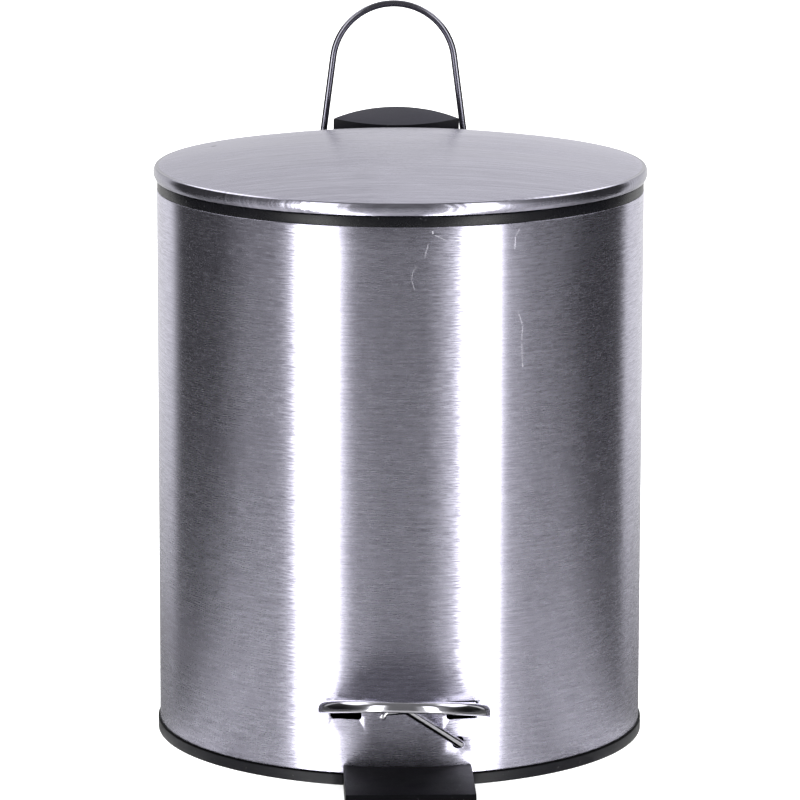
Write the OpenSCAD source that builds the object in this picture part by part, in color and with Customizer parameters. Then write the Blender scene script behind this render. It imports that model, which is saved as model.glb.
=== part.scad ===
// Round pedal bin: steel shell, plastic base and collar, domed lid worked by a pedal, a torsion
// crank wire and a lift rod. Origin on the floor at the shell's axis, pedal towards -Y, +Z up.

/* [Shell] */
// Outside diameter of the steel shell
shell_d = 205; // [204:0.5:206]
// Wall thickness of the shell
shell_t = 0.8; // [0.6:0.1:0.8]
// Height of the shell's top edge above the floor
shell_top = 232.5; // [232:0.1:233]
// Height of the base ring that shows below the shell
base_h = 5; // [4.8:0.1:5.4]

/* [Lid] */
// Radius of the lid at its rim
lid_r = 104; // [103.8:0.1:104.5]
// Height of the lid's lower edge
lid_z = 237.1; // [237:0.1:237.4]
// Height of the rim band
rim_h = 5.1; // [4.8:0.1:5.4]
// Rise of the dome above the rim band
dome_rise = 10; // [9:0.5:11]
// Thickness of the lid's steel
lid_t = 0.8; // [0.6:0.1:0.9]
// Angle that the lid opens to, used for the lever's rest position
lid_open = 75; // [70:1:76]
// Width of the hinge cap
cap_w = 55; // [54:0.5:56]

/* [Pedal] */
// Width of the pedal plate
pedal_w = 70.4; // [69.6:0.1:71]
// Distance from the pedal pin to the pedal's front edge
pedal_len = 55.2; // [54.8:0.1:55.6]
// Upward slope of the pedal at rest
pedal_slope = 16.3; // [16:0.1:16.6]
// Sideways lean of the plate on its loose tongues
pedal_lean = 1.4; // [0:0.1:1.5]
// Depth of the pedal's turned-down rim
pedal_rim = 5.1; // [4.8:0.1:5.4]
// Thickness of the pedal's steel
pedal_t = 1.5; // [1.2:0.1:1.6]

/* [Front foot] */
// Width of the block in front of the base
foot_w = 52.7; // [50:0.1:56]
// Height of the block's top
foot_h = 8.4; // [8:0.1:9]
// Distance from the shell's axis to the block's front
foot_reach = 147; // [140:1:150]
// How far the block sits turned about the shell's axis
foot_turn = 0.8; // [0:0.1:1]

/* [Carry handle] */
// Diameter of the handle wire
handle_wire_d = 3; // [2.8:0.1:3.2]
// Radius of the arch, to the middle of the wire
handle_arch_r = 26.9; // [26.5:0.1:27]
// Height of the arch's centre
handle_arch_z = 268.6; // [268:0.1:269.4]
// Outward lean of each leg
handle_lean = 7.4; // [7:0.1:8]
// How far the handle has slid to the left in its bores
handle_play = 0.8; // [0:0.1:0.8]

/* [Bucket] */
// Outside radius of the bucket at its top
bucket_top_r = 92; // [91:0.1:92]
// Outside radius of the bucket at its bottom
bucket_bottom_r = 85; // [80:0.5:86]
// Height of the bucket's underside above the floor
bucket_z = 42; // [42:0.5:45]

/* [Hidden] */

$fn = 96;
eps = 0.1;
// Radial running clearance of every pin in its bore
run_gap = 0.06;
sides = [-1, 1];

shell_r = shell_d / 2;
shell_in_r = shell_r - shell_t;
shell_z = 3;

// Base tray
tray_r = shell_r + 0.8;
floor_z = 4.2;
floor_top = 6.4;
upstand_r = shell_in_r - 0.2;
upstand_in_r = 99.5;
upstand_top = 10.5;

// Tongue that joins the front foot to the tray
tongue_half = 22;
tongue_low = 2.3;
tongue_top = 4.1;

// Pedal pin and the slots in front of it
pedal_pin_y = -88;
pedal_pin_z = 30.5;
pedal_pin_r = 1.75;
curl_in_r = pedal_pin_r + run_gap;
curl_r = curl_in_r + pedal_t;
slot_x = 23.9;
slot_w = 12.8;
slot_low = 27.8;
slot_high = 35.7;
slot_corner = 1.3;
tongue_w = 11;
tongue_slope = 6.1;
tongue_len = 16.8;
plate_top = 0.4;
pedal_back = 16.5;
bracket_ear_x = 32.5;
bracket_ear_t = 1.5;
bracket_top = floor_top + 1.5;

// Crank wire: axis from the front hole to the rear corner, then an arm at each end
crank_r = 1.6;
crank_z = 18;
crank_front = [22.8, -101.6];
crank_rear = [-30, 88];
crank_run = norm(crank_front - crank_rear);
crank_turn = atan2(crank_front[1] - crank_rear[1], crank_front[0] - crank_rear[0]);
crank_nose = 3;
front_arm_r = 35;
front_arm_angle = 35.9;
front_arm_out = 15;
crank_tail = 9;
// The wire's free end, turned down under the pedal
crank_end = [0, -1.4, -2.6];
rear_arm_r = 31.17;
rear_arm_angle = -15.6;
hole_r = 2.55;
// How far a wire's bend stands proud of the wire
bead = 0.04;

// Lid hinge, lever and lift rod
hinge_y = shell_r + 7;
hinge_z = 237.5;
hinge_pin_r = 2;
barrel_r = 4.5;
lever_r = 13.8;
lever_tip_r = 2;
lever_half_w = 3.5;
rod_r = 1.75;
rod_y = 96.5;
rod_lift_gap = 0.5;
lever_tip_z = hinge_z - lever_r * sin(lid_open / 2);
rod_top = lever_tip_z - lever_tip_r - rod_lift_gap;
rod_foot_z = crank_z + rear_arm_r * sin(rear_arm_angle) + crank_r + 0.5;
rod_foot_r = 3.2;
rod_foot_h = 1.6;
rod_tip_h = 0.8;

// Lid shape
crease_z = lid_z + rim_h;
dome_edge_r = lid_r - 0.6;
dome_r = (dome_edge_r * dome_edge_r + dome_rise * dome_rise) / (2 * dome_rise);
dome_centre_z = crease_z + dome_rise - dome_r;
notch_half_w = 14;
notch_y = 98.5;

// Hinge cap: a ball cut by a sloping facet in front
cap_half = cap_w / 2;
cap_ball = [0, 80.5, 200];
cap_ball_r = 57.6;
cap_t = 1.8;
cap_front_y = 93;
cap_front_r = 84.5;
cap_front_z = 245.4;
cap_slope = 26.57;
cap_bottom = 239.9;
cap_disc_r = 8;
boss_x = 18.5;
boss_y = 98.2;
lid_screw_z = 239.6;

// Rear housing
housing_half = 27;
housing_low = 203;
housing_high = 238;
housing_back = 125;
sweep_r = 13.4;
lug_x = 15.2;
lug_t = 4.4;
pivot_y = 121;
pivot_z = 218;
pivot_boss_r = 5.5;
pivot_boss_half = 30.3;
stub_in = 22;
wall_screw_x = 16;
wall_screw_z = 208;

// Collar
collar_r = shell_r - 0.1;
collar_top = 237;
collar_skirt = 214;
ledge_z = 229;
notch_w = 11;
notch_z = 225.6;
bumper_r = 2.2;
bumper_ring = 100;
bumper_h = 4.5;

// Bucket
bucket_t = 1.5;
bucket_rim_r = 96.5;
bucket_flat_y = 92.2;
rim_low = ledge_z + 0.05;
rim_top = 231.5;
bail_wire_r = 1.25;
bail_r = 93.5;
bail_z = 234.2;
bail_end_y = 3.5;

// A tube along Z between two heights
module tube(r_out, r_in, z_low, z_high) {
    translate([0, 0, z_low]) difference() {
        cylinder(r = r_out, h = z_high - z_low);
        translate([0, 0, -1]) cylinder(r = r_in, h = z_high - z_low + 2);
    }
}

// A cylinder along X, centred on x = 0
module bar_x(r, length) {
    rotate([0, 90, 0]) cylinder(r = r, h = length, center = true);
}

// A box given by its two corners
module block(low, high) {
    translate(low) cube(high - low);
}

// A rectangle with round corners, centred, from exact circles and squares
module round_rect(w, h, r) {
    square([w - 2 * r, h], center = true);
    square([w, h - 2 * r], center = true);
    for (x = sides, y = sides) translate([x * (w / 2 - r), y * (h / 2 - r)]) circle(r = r, $fn = 48);
}

// A wire through the points p: straight pieces with flat ends, and a small bead over each bend
module wire_path(p, r) {
    for (i = [0:len(p) - 2]) {
        v = p[i + 1] - p[i];
        translate(p[i]) rotate([0, acos(v[2] / norm(v)), atan2(v[1], v[0])])
            cylinder(r = r, h = norm(v), $fn = 32);
    }
    for (i = [1:1:len(p) - 2]) translate(p[i]) sphere(r = r + bead, $fn = 32);
}

// A pan-head screw along +Z with its head's underside at z = 0
module pan_screw(shank_r, shank, head_r, head_h) {
    difference() {
        translate([0, 0, -head_h]) cylinder(r = head_r, h = head_h, $fn = 32);
        translate([-head_r * 0.6, -0.4, -head_h - 1]) cube([head_r * 1.2, 0.8, 1.8]);
        translate([-0.4, -head_r * 0.6, -head_h - 1]) cube([0.8, head_r * 1.2, 1.8]);
    }
    translate([0, 0, -eps]) cylinder(r = shank_r, h = shank + eps, $fn = 32);
}

// Moves children into the crank's own frame: +X along its axis to the front, +Y square to it
module at_crank() {
    translate([crank_rear[0], crank_rear[1], crank_z]) rotate([0, 0, crank_turn]) children();
}

// A cylinder along the crank's axis between two distances from its rear corner
module crank_bar(r, from, to) {
    at_crank() translate([from, 0, 0]) rotate([0, 90, 0]) cylinder(r = r, h = to - from);
}

module outer_shell() {
    color("silver") difference() {
        tube(shell_r, shell_in_r, shell_z, shell_top);
        for (x = sides) translate([x * slot_x, -90, (slot_low + slot_high) / 2])
            rotate([90, 0, 0]) linear_extrude(20)
                round_rect(slot_w, slot_high - slot_low, slot_corner);
        crank_bar(hole_r, crank_run - 10, crank_run + 10);
        block([-notch_w / 2, 90, notch_z], [notch_w / 2, 110, shell_top + 1]);
        rotate([0, 0, foot_turn])
            block([-tongue_half - 0.4, -110, 0], [tongue_half + 0.4, -95, tongue_top + 0.2]);
        for (x = sides) translate([x * wall_screw_x, 90, wall_screw_z])
            rotate([-90, 0, 0]) cylinder(r = 1.7, h = 20, $fn = 32);
    }
}

module base_tray() {
    lip = tray_r - 0.4;
    color("#1c1c1f") difference() {
        union() {
            rotate_extrude($fn = 180) polygon([
                [upstand_in_r, 0], [tray_r, 0], [tray_r, base_h - 0.4], [lip, base_h],
                [shell_r + 0.1, base_h], [shell_r + 0.1, shell_z], [upstand_r, shell_z],
                [upstand_r, upstand_top], [upstand_in_r, upstand_top], [upstand_in_r, floor_top],
                [0, floor_top], [0, floor_z], [upstand_in_r, floor_z]
            ]);
            rotate([0, 0, foot_turn]) for (x = sides) translate([x * 14, -86, floor_z]) cylinder(r = 3.6, h = 8);
            for (x = sides) translate([x * 27, -83, 2]) cylinder(r = 3.6, h = floor_z - 1.9);
            for (a = [0:45:315]) rotate([0, 0, a + 22.5])
                block([30, -0.8, 1.5], [upstand_in_r + 0.2, 0.8, floor_z + eps]);
        }
        // Notch that the front foot's tongue passes through, and room for the foot in front
        rotate([0, 0, foot_turn]) {
            block([-tongue_half - 0.4, -tray_r - 1, -1], [tongue_half + 0.4, -72, floor_z]);
            difference() {
                block([-foot_w / 2 - 0.2, -tray_r - 1, -1], [foot_w / 2 + 0.2, -80, base_h + 1]);
                translate([0, 0, -2]) cylinder(r = shell_r + 0.25, h = base_h + 4);
            }
            for (x = sides) translate([x * 14, -86, floor_z - 1]) cylinder(r = 1.3, h = 7, $fn = 32);
        }
        for (x = sides) translate([x * 27, -83, 2.4]) cylinder(r = 1.3, h = 7, $fn = 32);
    }
}

module front_foot() {
    edge = 1.6;
    back = -shell_r - 0.2;
    color("#19191b") rotate([0, 0, foot_turn]) difference() {
        union() {
            difference() {
                translate([-foot_w / 2, 0, 0]) rotate([90, 0, 90]) linear_extrude(foot_w) polygon([
                    [-foot_reach, 0], [-foot_reach, foot_h - edge], [-foot_reach + edge, foot_h],
                    [-80, foot_h], [-80, 0]
                ]);
                translate([0, 0, base_h + 0.2]) cylinder(r = -back, h = 20, $fn = 180);
                translate([0, 0, -1]) cylinder(r = shell_r + 0.5, h = base_h + 1.25, $fn = 180);
                for (x = [-1, 0]) block([x * 24.6 + 0.6, -foot_reach + 2, -1], [x * 24.6 + 24, back - 4, 6.2]);
            }
            block([-tongue_half, -104.5, tongue_low], [tongue_half, -76, tongue_top]);
        }
        for (x = sides) translate([x * 14, -86, 0]) cylinder(r = 1.7, h = 10, $fn = 32);
    }
}

module foot_screws() {
    color("gray") rotate([0, 0, foot_turn]) for (x = sides)
        translate([x * 14, -86, tongue_low - 0.05]) pan_screw(1.25, 7, 3, 1.7);
}

module pedal_bracket() {
    ear = bracket_ear_x + bracket_ear_t;
    color("darkgray") difference() {
        union() {
            block([-ear, -91, floor_top], [ear, -79, bracket_top]);
            for (x = [-ear, bracket_ear_x]) {
                block([x, -91, floor_top], [x + bracket_ear_t, -84, pedal_pin_z]);
                translate([x, pedal_pin_y + 0.5, pedal_pin_z]) rotate([0, 90, 0])
                    cylinder(r = 3.5, h = bracket_ear_t);
            }
        }
        translate([0, pedal_pin_y, pedal_pin_z]) bar_x(pedal_pin_r, 90);
        for (x = sides) translate([x * 27, -83, 0]) cylinder(r = 1.6, h = 12, $fn = 32);
        rotate([0, 0, foot_turn]) for (x = sides)
            translate([x * 14, -86, 0]) cylinder(r = 4.2, h = 12.5, $fn = 48);
    }
}

module bracket_screws() {
    color("gray") for (x = sides) translate([x * 27, -83, bracket_top])
        rotate([180, 0, 0]) pan_screw(1.25, 5.4, 3, 1.8);
}

module pedal_pin() {
    color("gray") translate([0, pedal_pin_y, pedal_pin_z]) bar_x(pedal_pin_r, 73);
}

module pedal_pin_clips() {
    color("dimgray") for (x = sides)
        translate([x * 35, pedal_pin_y, pedal_pin_z]) difference() {
            bar_x(3.2, 0.8);
            bar_x(pedal_pin_r, 3);
        }
}

// A bearing block on the tray's floor with a bore for the crank wire
module crank_saddle(along) {
    color("#26262a") difference() {
        at_crank() union() {
            block([along - 5, -7, floor_top - crank_z], [along + 5, 7, -3]);
            block([along - 5, -4.2, floor_top - crank_z], [along + 5, 4.2, 0]);
            translate([along - 5, 0, 0]) rotate([0, 90, 0]) cylinder(r = 4.2, h = 10);
        }
        crank_bar(crank_r + run_gap, along - 12, along + 12);
    }
}

module crank_saddle_front() {
    crank_saddle(crank_run - 42);
}

module crank_saddle_rear() {
    crank_saddle(20);
}

module rod_guides() {
    color("darkgray") for (z = [60, 150]) difference() {
        block([-7, 93.4, z], [7, 104, z + 6]);
        translate([0, rod_y, z - 1]) cylinder(r = rod_r + run_gap, h = 8, $fn = 48);
        translate([0, 0, z - 1]) difference() {
            cylinder(r = 120, h = 8);
            translate([0, 0, -1]) cylinder(r = shell_in_r - 0.05, h = 10);
        }
    }
}

module top_collar() {
    inner = 97.6;
    skirt_in = 99.9;
    color("#17171a") difference() {
        union() {
            rotate_extrude($fn = 180) polygon([
                [collar_r, shell_top + 0.1], [collar_r, collar_top - 0.6],
                [collar_r - 0.6, collar_top], [inner + 0.6, collar_top], [inner, collar_top - 0.6],
                [inner, ledge_z], [93.2, ledge_z], [93.2, 226.4], [skirt_in, 226.4],
                [skirt_in, collar_skirt], [shell_in_r - 0.15, collar_skirt],
                [shell_in_r - 0.15, shell_top + 0.1]
            ]);
            difference() {
                block([-6, 93, collar_skirt], [6, 101, notch_z]);
                tube(140, 100.5, collar_skirt - 1, notch_z + 1);
            }
        }
        block([-notch_w / 2, 88, notch_z], [notch_w / 2, 110, 240]);
        translate([0, rod_y, 200]) cylinder(r = rod_r + run_gap, h = 40, $fn = 48);
    }
}

module lid_bumpers() {
    color("#2c2c2c") for (a = [30, 150, 270]) rotate([0, 0, a])
        translate([bumper_ring, 0, collar_top]) cylinder(r = bumper_r, h = bumper_h, $fn = 32);
}

module hinge_housing() {
    color("#1b1b1e") difference() {
        union() {
            difference() {
                block([-housing_half, 85, housing_low], [housing_half, housing_back, housing_high]);
                translate([0, hinge_y, hinge_z]) bar_x(sweep_r, 80);
                block([-40, 80, 224], [40, hinge_y, 250]);
                // Slanted underside, so that the housing fairs into the shell
                translate([0, housing_back + 4, housing_low - 6]) rotate([-45, 0, 0])
                    cube([80, 20, 20], center = true);
            }
            translate([0, pivot_y, pivot_z]) bar_x(pivot_boss_r, 2 * pivot_boss_half);
            for (x = sides) translate([x * lug_x, 0, 0]) {
                block([-lug_t / 2, 105, 215], [lug_t / 2, 112.5, hinge_z - 2]);
                translate([0, hinge_y, hinge_z]) bar_x(barrel_r, lug_t);
            }
        }
        cylinder(r = shell_r + 0.1, h = 260, $fn = 180);
        translate([0, hinge_y, hinge_z]) bar_x(hinge_pin_r, 60);
        for (x = sides) {
            translate([x * (pivot_boss_half + stub_in) / 2, pivot_y, pivot_z])
                bar_x(handle_wire_d / 2 + run_gap, pivot_boss_half - stub_in + 2);
            translate([x * wall_screw_x, 90, wall_screw_z]) rotate([-90, 0, 0])
                cylinder(r = 1.3, h = 22, $fn = 32);
        }
    }
}

module housing_screws() {
    head_y = sqrt(shell_in_r * shell_in_r - wall_screw_x * wall_screw_x) - 0.6;
    color("gray") for (x = sides) translate([x * wall_screw_x, head_y, wall_screw_z])
        rotate([-90, 0, 0]) pan_screw(1.25, 11, 3.2, 1.9);
}

module hinge_pin() {
    color("gray") translate([0, hinge_y, hinge_z]) bar_x(hinge_pin_r, 37.5);
}

module inner_bucket() {
    slope = (bucket_top_r - bucket_bottom_r) / (rim_low - bucket_z);
    color("#3a3b3e") difference() {
        rotate_extrude($fn = 180) polygon([
            [0, bucket_z], [bucket_bottom_r - 2, bucket_z], [bucket_bottom_r, bucket_z + 2],
            [bucket_top_r, rim_low], [bucket_rim_r, rim_low], [bucket_rim_r, rim_top],
            [bucket_top_r - bucket_t, rim_top], [bucket_top_r - bucket_t, rim_low],
            [bucket_bottom_r - bucket_t + slope * 2, bucket_z + 4],
            [bucket_bottom_r - bucket_t - 2, bucket_z + 2], [0, bucket_z + 2]
        ]);
        block([-60, bucket_flat_y, bucket_z], [60, 110, 240]);
        for (x = sides) translate([x * bail_r, bail_end_y, rim_top - 2])
            cylinder(r = bail_wire_r + 0.1, h = 4, $fn = 32);
    }
}

module bucket_bail() {
    color("gray") translate([0, 0, bail_z]) {
        rotate([0, 0, 180]) rotate_extrude(angle = 180, $fn = 180)
            translate([bail_r, 0]) circle(r = bail_wire_r, $fn = 32);
        for (x = sides) wire_path([
            [x * bail_r, 0, 0], [x * bail_r, bail_end_y, 0], [x * bail_r, bail_end_y, rim_top - bail_z - 1.6]
        ], bail_wire_r);
    }
}

// The lid's outer form: dome, rim band and everything below them, grown by a gap
module lid_form(grow) {
    intersection() {
        translate([0, 0, dome_centre_z]) sphere(r = dome_r + grow, $fn = 240);
        union() {
            translate([0, 0, lid_z - 20]) cylinder(r = lid_r + grow, h = crease_z + 18.6 - lid_z, $fn = 180);
            translate([0, 0, crease_z - 1.41]) cylinder(r1 = lid_r + grow, r2 = dome_edge_r + grow,
                h = 1.41, $fn = 180);
            cylinder(r = dome_edge_r + grow, h = crease_z + 20, $fn = 180);
        }
    }
}

module lid_skin() {
    color("#b9b9be") difference() {
        intersection() {
            lid_form(0);
            translate([0, 0, lid_z]) cylinder(r = 130, h = 30);
        }
        difference() {
            lid_form(-lid_t);
            translate([0, 0, lid_z - 30]) cylinder(r = 130, h = 10);
        }
        block([-notch_half_w, notch_y, 230], [notch_half_w, 110, 260]);
        for (x = sides) translate([x * boss_x, boss_y, 230]) cylinder(r = 1.7, h = 30, $fn = 32);
    }
}

module lid_bracket() {
    half = 12.7;
    tip_y = -lever_r * cos(lid_open / 2);
    color("#232327") difference() {
        union() {
            intersection() {
                lid_form(-lid_t - 0.05);
                block([-25, 79, 239], [25, 101.2, 260]);
                difference() {
                    translate([0, 0, dome_centre_z]) sphere(r = dome_r, $fn = 240);
                    translate([0, 0, dome_centre_z]) sphere(r = dome_r - lid_t - 2.4, $fn = 240);
                }
                cylinder(r = 102.6, h = 300);
            }
            block([-half, 92, 238.6], [half, hinge_y, 241.8]);
            translate([0, hinge_y, hinge_z]) bar_x(barrel_r, 2 * half);
            translate([0, hinge_y, hinge_z]) rotate([lid_open / 2, 0, 0])
                block([-lever_half_w, -lever_r, -lever_tip_r], [lever_half_w, 0, lever_tip_r]);
            translate([0, hinge_y + tip_y, lever_tip_z]) bar_x(lever_tip_r, 2 * lever_half_w);
        }
        translate([0, hinge_y, hinge_z]) bar_x(hinge_pin_r + run_gap, 60);
        for (x = sides) translate([x * boss_x, boss_y, 230]) {
            cylinder(r = 1.7, h = 30, $fn = 32);
            cylinder(r = 3.1, h = lid_screw_z + 0.05 - 230, $fn = 48);
        }
    }
}

// The cap's outer form, pulled in by a wall thickness
module cap_form(inset) {
    half = cap_half - inset;
    difference() {
        intersection() {
            translate(cap_ball) sphere(r = cap_ball_r - inset, $fn = 200);
            block([-half, cap_front_y + inset, 236], [half, 130, 260]);
            translate([0, cap_front_y + cap_front_r, 230])
                cylinder(r = cap_front_r - inset, h = 40, $fn = 240);
        }
        translate([0, cap_front_y, cap_front_z - inset]) rotate([cap_slope, 0, 0])
            translate([-50, -30, 0]) cube([100, 80, 30]);
    }
}

module lid_cap() {
    color("#2b2b2f") difference() {
        union() {
            difference() {
                cap_form(0);
                block([-60, 104.3, 230], [60, 130, cap_bottom]);
            }
            for (x = sides) translate([x * (cap_half - cap_t / 2), hinge_y, hinge_z])
                bar_x(cap_disc_r, cap_t);
        }
        difference() {
            cap_form(cap_t);
            for (x = sides) translate([x * boss_x, boss_y, 230]) cylinder(r = 3, h = 30, $fn = 48);
        }
        lid_form(0.12);
        for (x = sides) translate([x * boss_x, boss_y, 238]) cylinder(r = 1.25, h = 7.5, $fn = 32);
    }
}

module lid_screws() {
    color("gray") for (x = sides) translate([x * boss_x, boss_y, lid_screw_z])
        pan_screw(1.2, 5.6, 2.8, 1.5);
}

// The pedal seen from above: half a disc in front, straight sides behind, pulled in by an inset
module pedal_outline(inset) {
    r = pedal_w / 2 - inset;
    middle = pedal_w / 2 - pedal_len;
    difference() {
        translate([0, middle]) circle(r = r, $fn = 128);
        translate([-pedal_w, middle]) square(2 * pedal_w);
    }
    translate([-r, middle]) square([2 * r, -pedal_back - middle]);
}

module pedal_plate() {
    color("#d5d5da") translate([0, pedal_pin_y, pedal_pin_z]) difference() {
        union() {
            // Plate with its rim turned down along the front and both sides, open at the back
            rotate([-pedal_slope, 0, 0]) rotate([0, pedal_lean, 0]) difference() {
                translate([0, 0, plate_top - pedal_rim]) linear_extrude(pedal_rim) pedal_outline(0);
                translate([0, 0, plate_top - pedal_rim - 1]) linear_extrude(pedal_rim - pedal_t + 1) {
                    pedal_outline(pedal_t);
                    translate([pedal_t - pedal_w / 2, -pedal_back - 2]) square([pedal_w - 2 * pedal_t, 4]);
                }
            }
            for (x = sides) rotate([-tongue_slope, 0, 0]) {
                translate([x * slot_x - tongue_w / 2, -tongue_len, curl_r - pedal_t])
                    cube([tongue_w, tongue_len, pedal_t]);
                translate([x * slot_x, 0, 0]) bar_x(curl_r, tongue_w);
            }
        }
        bar_x(curl_in_r, 90);
    }
}

module crank_rod() {
    nose = crank_run + crank_nose;
    up = front_arm_r * sin(front_arm_angle);
    side = front_arm_r * cos(front_arm_angle);
    tip = [nose + front_arm_out, -side, up];
    rear_tip = [0, rear_arm_r * cos(rear_arm_angle), rear_arm_r * sin(rear_arm_angle)];
    color("#c9c9cf") at_crank()
        wire_path([
            rear_tip, [0, 0, 0], [nose, 0, 0], tip, tip - [0, crank_tail, 0], tip - [0, crank_tail, 0] + crank_end
        ], crank_r);
}

module lift_rod() {
    color("darkgray") translate([0, rod_y, rod_foot_z]) {
        cylinder(r1 = rod_foot_r - 1.8, r2 = rod_foot_r, h = rod_foot_h, $fn = 48);
        cylinder(r = rod_r, h = rod_top - rod_tip_h - rod_foot_z, $fn = 48);
        translate([0, 0, rod_top - rod_tip_h - rod_foot_z])
            cylinder(r1 = rod_r, r2 = rod_r - rod_tip_h, h = rod_tip_h, $fn = 48);
    }
}

module carry_handle() {
    r = handle_wire_d / 2;
    end_x = handle_arch_r * cos(handle_lean);
    end_z = handle_arch_z + handle_arch_r * sin(handle_lean);
    foot_x = end_x + (end_z - pivot_z) * tan(handle_lean);
    color("#8f8f96") translate([-handle_play, pivot_y, 0]) {
        translate([0, 0, handle_arch_z]) rotate([90, 0, 0]) rotate([0, 0, handle_lean])
            rotate_extrude(angle = 180 - 2 * handle_lean, $fn = 128)
                translate([handle_arch_r, 0]) circle(r = r, $fn = 32);
        for (x = sides) {
            translate([x * end_x, 0, end_z]) sphere(r = r + bead, $fn = 32);
            wire_path([[x * end_x, 0, end_z], [x * foot_x, 0, pivot_z], [x * stub_in, 0, pivot_z]], r);
        }
    }
}

outer_shell();
base_tray();
front_foot();
foot_screws();
pedal_bracket();
bracket_screws();
pedal_pin();
pedal_pin_clips();
crank_saddle_front();
crank_saddle_rear();
rod_guides();
top_collar();
lid_bumpers();
hinge_housing();
housing_screws();
hinge_pin();
inner_bucket();
bucket_bail();
lid_skin();
lid_bracket();
lid_cap();
lid_screws();
pedal_plate();
crank_rod();
lift_rod();
carry_handle();
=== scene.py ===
import math
import bpy
import bmesh
from math import sin, cos, pi, radians, atan2, sqrt, hypot
from mathutils import Vector, Matrix
from mathutils.geometry import delaunay_2d_cdt


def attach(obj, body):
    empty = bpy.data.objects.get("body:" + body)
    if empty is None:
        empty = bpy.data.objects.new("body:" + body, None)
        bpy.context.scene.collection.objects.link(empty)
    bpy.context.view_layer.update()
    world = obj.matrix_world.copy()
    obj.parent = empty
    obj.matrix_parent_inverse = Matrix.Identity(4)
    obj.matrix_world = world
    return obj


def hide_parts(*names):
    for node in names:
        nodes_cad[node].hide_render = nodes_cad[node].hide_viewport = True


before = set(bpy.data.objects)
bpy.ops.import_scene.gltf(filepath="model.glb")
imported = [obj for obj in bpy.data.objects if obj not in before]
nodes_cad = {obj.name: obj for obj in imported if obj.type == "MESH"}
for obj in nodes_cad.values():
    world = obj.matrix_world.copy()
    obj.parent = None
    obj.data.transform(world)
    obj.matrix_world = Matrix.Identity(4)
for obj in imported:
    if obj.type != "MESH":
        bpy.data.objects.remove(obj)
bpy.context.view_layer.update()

# Driving sizes in millimetres, x to the right, y to the back and z up from the floor, as in the CAD
MM = 0.001
R, WALL = 102.5, 0.8                  # shell
SHELL_LOW, SHELL_TOP = 3.0, 232.5
FOOT_TURN = 0.8                       # degrees that the front foot is turned about the shell's axis
FOOT_HALF, FOOT_TOP = 22.4, 4.3       # gap in the shell's lower edge for the foot's tongue
NOTCH_HALF, NOTCH_LOW = 5.5, 225.6    # notch at the back for the lid's lever
SLOT_X, SLOT_Z = 23.9, 31.525         # pedal slots
SLOT_W, SLOT_H, SLOT_R = 12.8, 7.45, 1.3
WIRE_HOLE_R = 2.55
SEAM_W, SEAM_RISE = 0.9, 0.10         # the welded seam at the back
LID_R, DOME_LOW, DOME_RISE = 103.4, 242.2, 10
HANDLE_R, HANDLE_Y, HANDLE_Z = 1.5, 121, 218
HANDLE_SLIDE = 0.8
CRANK_R, CRANK_Z = 1.6, 18
CRANK_FRONT, CRANK_BACK = (22.8, -101.6), (-30, 88)
BAIL_R, BAIL_RING, BAIL_Z = 1.25, 93.5, 234.2
FLAT = 0.2                            # degrees under which CAD triangles count as one flat face

scene = bpy.context.scene
scene.view_settings.view_transform = 'Standard'


# ---------------------------------------------------------------- mesh helpers
def place(name, me, mat, body, nodes=(), sharp=35):
    """Link a mesh as a piece that rides on a body and stands for CAD nodes."""
    o = bpy.data.objects.new(name, me)
    scene.collection.objects.link(o)
    me.materials.clear()
    me.materials.append(mat)
    me.shade_smooth()
    me.set_sharp_from_angle(angle=radians(sharp))
    if body:
        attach(o, body)
    if nodes:
        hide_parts(*nodes)
    return o


def mesh_of(name, verts, faces):
    """A mesh from points in millimetres, its doubled points welded."""
    me = bpy.data.meshes.new(name)
    me.from_pydata([(v[0] * MM, v[1] * MM, v[2] * MM) for v in verts], [], faces)
    bm = bmesh.new()
    bm.from_mesh(me)
    bmesh.ops.remove_doubles(bm, verts=bm.verts, dist=1e-6)
    bmesh.ops.recalc_face_normals(bm, faces=bm.faces)
    bm.to_mesh(me)
    bm.free()
    return me


def with_modifiers(me, *mods):
    """A new mesh: me with the modifiers (type, settings) applied."""
    o = bpy.data.objects.new("tmp", me)
    scene.collection.objects.link(o)
    for kind, settings in mods:
        m = o.modifiers.new(kind, kind)
        for k, v in settings.items():
            setattr(m, k, v)
    dg = bpy.context.evaluated_depsgraph_get()
    out = bpy.data.meshes.new_from_object(o.evaluated_get(dg))
    bpy.data.objects.remove(o)
    out.name = me.name
    return out


def bevel(width, segments, angle):
    """Settings that round every edge sharper than the angle."""
    return ("BEVEL", dict(width=width * MM, segments=segments, limit_method='ANGLE',
                          angle_limit=radians(angle), use_clamp_overlap=True, miter_outer='MITER_ARC'))


def cad_copy(node, *mods):
    """The CAD node's mesh welded, its flat triangles joined, then the modifiers applied."""
    me = nodes_cad[node].data.copy()
    me.name = node + "_look"
    bm = bmesh.new()
    bm.from_mesh(me)
    bmesh.ops.remove_doubles(bm, verts=bm.verts, dist=2e-6)
    bmesh.ops.dissolve_limit(bm, angle_limit=radians(FLAT), verts=bm.verts, edges=bm.edges,
                             delimit={'NORMAL'})
    bmesh.ops.recalc_face_normals(bm, faces=bm.faces)
    bm.to_mesh(me)
    bm.free()
    if me.has_custom_normals:
        me.attributes.remove(me.attributes["custom_normal"])
    return with_modifiers(me, *mods)


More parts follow.
